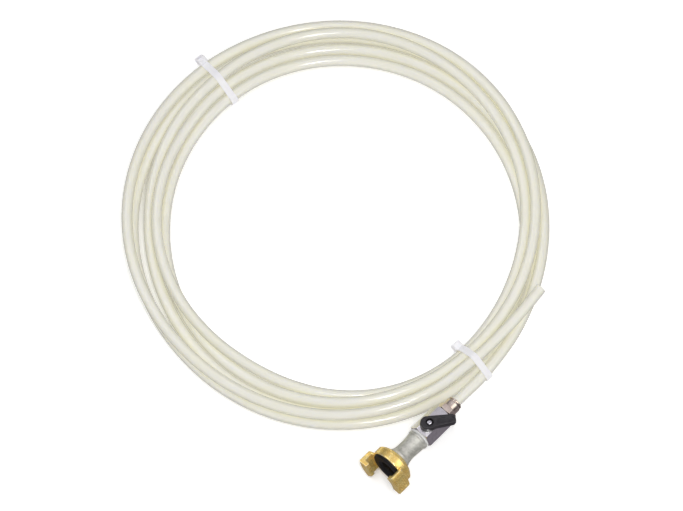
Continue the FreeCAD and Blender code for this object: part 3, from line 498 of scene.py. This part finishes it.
def apply_modifiers(piece):
    graph = bpy.context.evaluated_depsgraph_get()
    mesh = bpy.data.meshes.new_from_object(piece.evaluated_get(graph))
    piece.modifiers.clear()
    piece.data = mesh


def remould(piece, voxel, rounds):
    """Rebuild a surface as fine even quads and round its edges a little."""
    remesh = piece.modifiers.new("remesh", "REMESH")
    remesh.mode = "VOXEL"
    remesh.voxel_size = voxel
    remesh.use_smooth_shade = True
    smooth = piece.modifiers.new("smooth", "SMOOTH")
    smooth.factor = 0.5
    smooth.iterations = rounds
    apply_modifiers(piece)


def roughen(piece, size, depth, seed):
    """Move the surface in and out by a smooth noise of a given size and depth."""
    mesh = piece.data
    shift = Vector((seed, seed * 0.7, seed * 0.3))
    normals = [v.normal.copy() for v in mesh.vertices]
    for vertex, normal in zip(mesh.vertices, normals):
        vertex.co += normal * depth * noise.noise(vertex.co / size + shift)


def crisp(piece, angle, width, segments=3):
    """Small rounded bevels along the edges that are sharper than an angle."""
    limited = piece.modifiers.new("planar", "DECIMATE")
    limited.decimate_type = "DISSOLVE"
    flat_enough = 0.5
    limited.angle_limit = math.radians(flat_enough)
    bevel = piece.modifiers.new("bevel", "BEVEL")
    bevel.limit_method = "ANGLE"
    bevel.angle_limit = math.radians(angle)
    bevel.width = width
    bevel.segments = segments
    bevel.use_clamp_overlap = True
    apply_modifiers(piece)


def shade(piece, angle=None):
    piece.data.shade_smooth()
    if angle is not None:
        piece.data.set_sharp_from_angle(angle=math.radians(angle))


def stand_for(piece, node, materials, finish=None):
    """Put a finished piece in the place of a CAD node, in its slot's finish or another."""
    dress(piece, materials[finish or slot_of(node)])
    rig.ride(piece, body_of(node))
    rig.slot(piece, slot_of(node))
    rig.replaces(piece, node)


def hose_rings(bore_limit):
    """The CAD hose's outer rings as (middle, direction) in order along the hose, from the
    fitting to the plain end.  Rings are the loops of short edges; the edges along the hose
    are longer."""
    work = bmesh.new()
    work.from_mesh(frame["nodes"]["hose"].data)
    bmesh.ops.remove_doubles(work, verts=work.verts, dist=WELD)
    bmesh.ops.join_triangles(work, faces=work.faces, cmp_seam=False, cmp_sharp=False, cmp_uvs=False,
                             cmp_vcols=False, cmp_materials=False,
                             angle_face_threshold=ANY_ANGLE,
                             angle_shape_threshold=ANY_ANGLE)
    longest_side = 1.1 * MM
    ring_of = {}
    rings = []
    for vertex in work.verts:
        if vertex in ring_of:
            continue
        members = [vertex]
        ring_of[vertex] = len(rings)
        for member in members:
            for edge in member.link_edges:
                other = edge.other_vert(member)
                if other not in ring_of and edge.calc_length() < longest_side:
                    ring_of[other] = len(rings)
                    members.append(other)
        rings.append(members)
    outer = {}
    for number, members in enumerate(rings):
        middle = sum((v.co for v in members), Vector()) / len(members)
        first = members[0].co - middle
        if first.length > bore_limit:
            outer[number] = (middle, first.cross(members[1].co - middle).normalized())
    links = {number: set() for number in outer}
    for edge in work.edges:
        pair = [ring_of[v] for v in edge.verts]
        if pair[0] != pair[1] and pair[0] in outer and pair[1] in outer:
            links[pair[0]].add(pair[1])
            links[pair[1]].add(pair[0])
    low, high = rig.box("fitting_body")
    fitting = (Vector(low) + Vector(high)) / 2
    ends = [number for number in outer if len(links[number]) == 1]
    here = min(ends, key=lambda number: (outer[number][0] - fitting).length)
    order = [here]
    while True:
        ahead = [number for number in links[here] if number != order[-2:][0]]
        if not ahead:
            break
        here = ahead[0]
        order.append(here)
    work.free()
    if len(order) != len(outer):
        raise ValueError("the hose's rings are not one chain")
    line = [outer[number] for number in order]
    aligned = []
    for number, (middle, way) in enumerate(line):
        step = line[min(number + 1, len(line) - 1)][0] - line[max(number - 1, 0)][0]
        aligned.append((middle, way if way.dot(step) > 0 else -way))
    return aligned


def finer_line(line, parts):
    """More points between the rings, on smooth cubics through their middles."""
    points = []
    for (start, start_way), (stop, stop_way) in zip(line, line[1:]):
        reach = (stop - start).length
        for part in range(parts):
            f = part / parts
            points.append((2 * f ** 3 - 3 * f ** 2 + 1) * start + (3 * f ** 2 - 2 * f ** 3) * stop
                          + (f ** 3 - 2 * f ** 2 + f) * reach * start_way
                          + (f ** 3 - f ** 2) * reach * stop_way)
    points.append(line[-1][0])
    return points


def swept_hose(line, radius, bore):
    """A hose wall swept along points: even rings outside and in, rims softened at both ends."""
    around = 48
    soft = 0.35 * MM
    count = len(line)
    ways = [(line[min(i + 1, count - 1)] - line[max(i - 1, 0)]).normalized() for i in range(count)]

    def ring(number, size, back=0.0):
        middle = line[number] - ways[number] * back
        side = ways[number].cross(Vector((0, 0, 1))).normalized()
        up = side.cross(ways[number])
        turns = (2 * math.pi * k / around for k in range(around))
        return [middle + size * (side * math.cos(t) + up * math.sin(t)) for t in turns]

    def wavy(number):
        """The drawn wall is never quite even: its thickness changes by hundredths."""
        deepest = 0.03 * MM
        wave = 35 * MM
        return radius - deepest * (0.5 + 0.5 * noise.noise(line[number] / wave))

    last = count - 1
    slight = soft * 0.3
    rows = [ring(0, radius - soft), ring(0, radius - slight, -slight)]
    rows += [ring(i, wavy(i)) for i in range(1, last)]
    rows += [ring(last, radius - slight, slight), ring(last, radius - soft)]
    rows += [ring(last, bore + soft), ring(last, bore + slight, slight)]
    rows += [ring(i, bore) for i in range(last - 1, 0, -1)]
    rows += [ring(0, bore + slight, -slight), ring(0, bore + soft)]
    faces = []
    for row in range(len(rows)):
        after = (row + 1) % len(rows)
        for k in range(around):
            beside = (k + 1) % around
            faces.append((row * around + k, row * around + beside, after * around + beside,
                          after * around + k))
    mesh = bpy.data.meshes.new("milky_hose")
    mesh.from_pydata([point for row in rows for point in row], [], faces)
    work = bmesh.new()
    work.from_mesh(mesh)
    bmesh.ops.recalc_face_normals(work, faces=work.faces)
    work.to_mesh(mesh)
    work.free()
    piece = bpy.data.objects.new("milky_hose", mesh)
    bpy.context.scene.collection.objects.link(piece)
    return piece


def make_hose(materials):
    """The hose as one finely stepped sweep, or the CAD surface if its rings can't be followed."""
    parts_per_ring = 2
    rim_angle = 50
    try:
        line = finer_line(hose_rings((HOSE_RADIUS + HOSE_BORE_RADIUS) / 2), parts_per_ring)
        piece = swept_hose(line, HOSE_RADIUS, HOSE_BORE_RADIUS)
    except (ValueError, IndexError):
        piece = welded_copy("hose", "milky_hose")
    shade(piece, rim_angle)
    stand_for(piece, "hose", materials)


def make_ties(materials):
    """Cable ties with the soft edges of a moulding."""
    voxel = 0.3 * MM
    rounds = 4
    for node, name in (("cable_tie_lower_right", "lower_tie"), ("cable_tie_upper_left", "upper_tie")):
        piece = welded_copy(node, name)
        remould(piece, voxel, rounds)
        stand_for(piece, node, materials)


def make_castings(materials):
    """Castings: softened edges and a gently lumpy skin."""
    for node, name, voxel, rounds, size, depth in (
            ("coupling_body", "claw_coupling", 0.38, 5, 5.0, 0.16),
            ("pipe_socket", "galvanised_socket", 0.38, 4, 6.0, 0.30)):
        piece = welded_copy(node, name)
        remould(piece, voxel * MM, rounds)
        roughen(piece, size * MM, depth * MM, size)
        shade(piece)
        stand_for(piece, node, materials)


def make_mouldings(materials):
    """The plastic lever and the rubber seal, with softened edges."""
    for node, name, voxel, rounds in (("lever", "moulded_lever", 0.22, 5),
                                      ("coupling_seal", "coupling_gasket", 0.35, 3)):
        piece = welded_copy(node, name)
        remould(piece, voxel * MM, rounds)
        shade(piece)
        stand_for(piece, node, materials)


def make_machined(materials):
    """Turned and milled pieces, with small bevels; the last word is a finish of its own."""
    bevel_from = 28
    sharp_from = 24
    for node, name, width, finish in (
            ("valve_body", "hexagon_valve", 0.30, None),
            ("fitting_body", "push_in_fitting", 0.22, None),
            ("release_ring", "push_ring", 0.15, None),
            ("lever_screw", "bright_screw", 0.12, None),
            ("lever_washer", "dark_washer", 0.08, "black_steel"),
            ("socket_seal_ring", "pale_seal", 0.12, None)):
        piece = welded_copy(node, name)
        crisp(piece, bevel_from, width * MM)
        shade(piece, sharp_from)
        stand_for(piece, node, materials, finish)


def dress_the_rest(materials):
    """Every CAD piece that stays as it is gets its own node material too."""
    for node, piece in frame["nodes"].items():
        dress(piece, materials[slot_of(node)])


# ---------------------------------------------------------------- studio

def look_at(thing, target):
    way = Vector(target) - thing.location
    thing.rotation_euler = way.to_track_quat("-Z", "Y").to_euler()


def make_camera(middle):
    """A long lens far above the coil, tipped 71 degrees down."""
    elevation = math.radians(71.0)
    distance = 12.0
    focal_length = 585.6
    off_middle = Vector((6.6, 3.5, 10.0)) * MM
    target = middle + off_middle
    camera = bpy.data.objects.new("camera", bpy.data.cameras.new("camera"))
    camera.data.sensor_width = 36.0
    camera.data.lens = focal_length
    camera.data.clip_end = 40.0
    camera.location = target + distance * Vector((0, -math.cos(elevation), math.sin(elevation)))
    look_at(camera, target)
    bpy.context.scene.collection.objects.link(camera)
    bpy.context.scene.camera = camera


def make_light(name, location, wide, tall, power, colour, target):
    data = bpy.data.lights.new(name, "AREA")
    data.shape = "RECTANGLE"
    data.size = wide
    data.size_y = tall
    data.energy = power
    data.color = colour
    light = bpy.data.objects.new(name, data)
    light.location = location
    look_at(light, target)
    bpy.context.scene.collection.objects.link(light)


def make_studio(middle):
    """Two soft lights, a strip for the short streaks on the hose, and an even sky.  Mirrored
    rays see a sky that darkens more towards its edge, so that bright metal has contrast."""
    cool, warm, white = (0.955, 0.97, 1.0), (1.0, 0.98, 0.94), (1.0, 1.0, 1.0)
    for name, location, wide, tall, power, colour in (
            ("soft_key", (-1.3, 0.6, 2.0), 1.6, 1.6, 10.5, cool),
            ("soft_fill", (1.6, -0.3, 1.7), 1.4, 1.4, 6.0, warm),
            ("strip", (0.29, -0.79, 2.03), 0.18, 0.95, 12.0, white)):
        make_light(name, location, wide, tall, power, colour, middle)
    world = bpy.data.worlds.new("studio")
    world.use_nodes = True
    nodes = world.node_tree.nodes
    links = world.node_tree.links
    height = nodes.new("ShaderNodeSeparateXYZ")
    links.new(nodes.new("ShaderNodeTexCoord").outputs["Generated"], height.inputs[0])
    soft = nodes.new("ShaderNodeValToRGB")
    soft.color_ramp.elements[0].color = (0.50, 0.50, 0.52, 1)
    soft.color_ramp.elements[1].position = 0.6
    mirrored = nodes.new("ShaderNodeValToRGB")
    mirrored.color_ramp.elements[0].position = 0.1
    mirrored.color_ramp.elements[0].color = (0.07, 0.06, 0.08, 1)
    mirrored.color_ramp.elements[1].position = 0.95
    mirrored.color_ramp.elements[1].color = (1.5, 1.42, 1.6, 1)
    for ramp in (soft, mirrored):
        links.new(height.outputs["Z"], ramp.inputs[0])
    choice = nodes.new("ShaderNodeMix")
    choice.data_type = "RGBA"
    links.new(nodes.new("ShaderNodeLightPath").outputs["Is Glossy Ray"], choice.inputs["Factor"])
    links.new(soft.outputs[0], choice.inputs[6])
    links.new(mirrored.outputs[0], choice.inputs[7])
    links.new(choice.outputs[2], nodes["Background"].inputs["Color"])
    nodes["Background"].inputs["Strength"].default_value = 0.42
    bpy.context.scene.world = world
    bpy.context.scene.view_settings.view_transform = "Standard"


def make_floor():
    """A wide pale floor, lit like seamless paper: it glows except close to the object, which paints a
    shadow there. Mirrored rays and rays that come through the hose see it as a darker grey: a painted
    reflection and painted shade under the hose."""
    reach = 20.0
    mesh = bpy.data.meshes.new("floor")
    corners = [(x * reach, y * reach, 0.0) for x, y in ((-1, -1), (1, -1), (1, 1), (-1, 1))]
    mesh.from_pydata(corners, [], [(0, 1, 2, 3)])
    floor = bpy.data.objects.new("floor", mesh)
    bpy.context.scene.collection.objects.link(floor)
    shader = Shader("floor_paper")
    fibres = shader.noise(60.0, 4.0)
    colour = shader.mix(shader.spread(fibres, 0.3, 0.7), (0.90, 0.90, 0.90), (0.92, 0.92, 0.92))
    # painted shadow: the floor's glow fades to nothing close to the object
    shader.finish(Base_Color=colour, Roughness=0.9, Emission_Color=(1.0, 1.0, 1.0),
                  Emission_Strength=shader.spread(shader.crevice(16 * MM), 0.15, 0.7, 0.0, 0.42),
                  Normal=shader.bump(fibres, 0.2 * MM, 0.2))
    # painted reflection: mirrored rays see the floor as a dark grey glow
    shader.lay_over(shader.light_path("Is Glossy Ray"), shader.glow((0.20, 0.18, 0.21)))
    # painted shade: rays that come through the hose see the floor as a mid grey glow
    through = shader.spread(shader.light_path("Transparent Depth"), 0.0, 1.0)
    shader.lay_over(through, shader.glow((0.50, 0.50, 0.53)))
    dress(floor, shader.material)
    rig.stage(floor)


def coil_middle():
    """Middle of the coil's ring, on the floor, from the hose's box."""
    low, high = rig.box("hose")
    return Vector(((low.x + high.x) / 2, high.y - (high.x - low.x) / 2, 0))


def box_middle():
    """Middle of the whole object, on the floor."""
    low, high = cad_box
    return Vector(((low[0] + high[0]) / 2, (low[1] + high[1]) / 2, 0))


def main():
    middle = coil_middle()
    materials = make_materials(middle)
    dress_the_rest(materials)
    make_hose(materials)
    make_ties(materials)
    make_castings(materials)
    make_mouldings(materials)
    make_machined(materials)
    make_floor()
    make_studio(box_middle())
    make_camera(box_middle())


main()
with open("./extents.json", "w") as file:
    json.dump({"cad": [list(corner) for corner in cad_box],
               "visual": [list(corner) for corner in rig.bounds()]}, file)
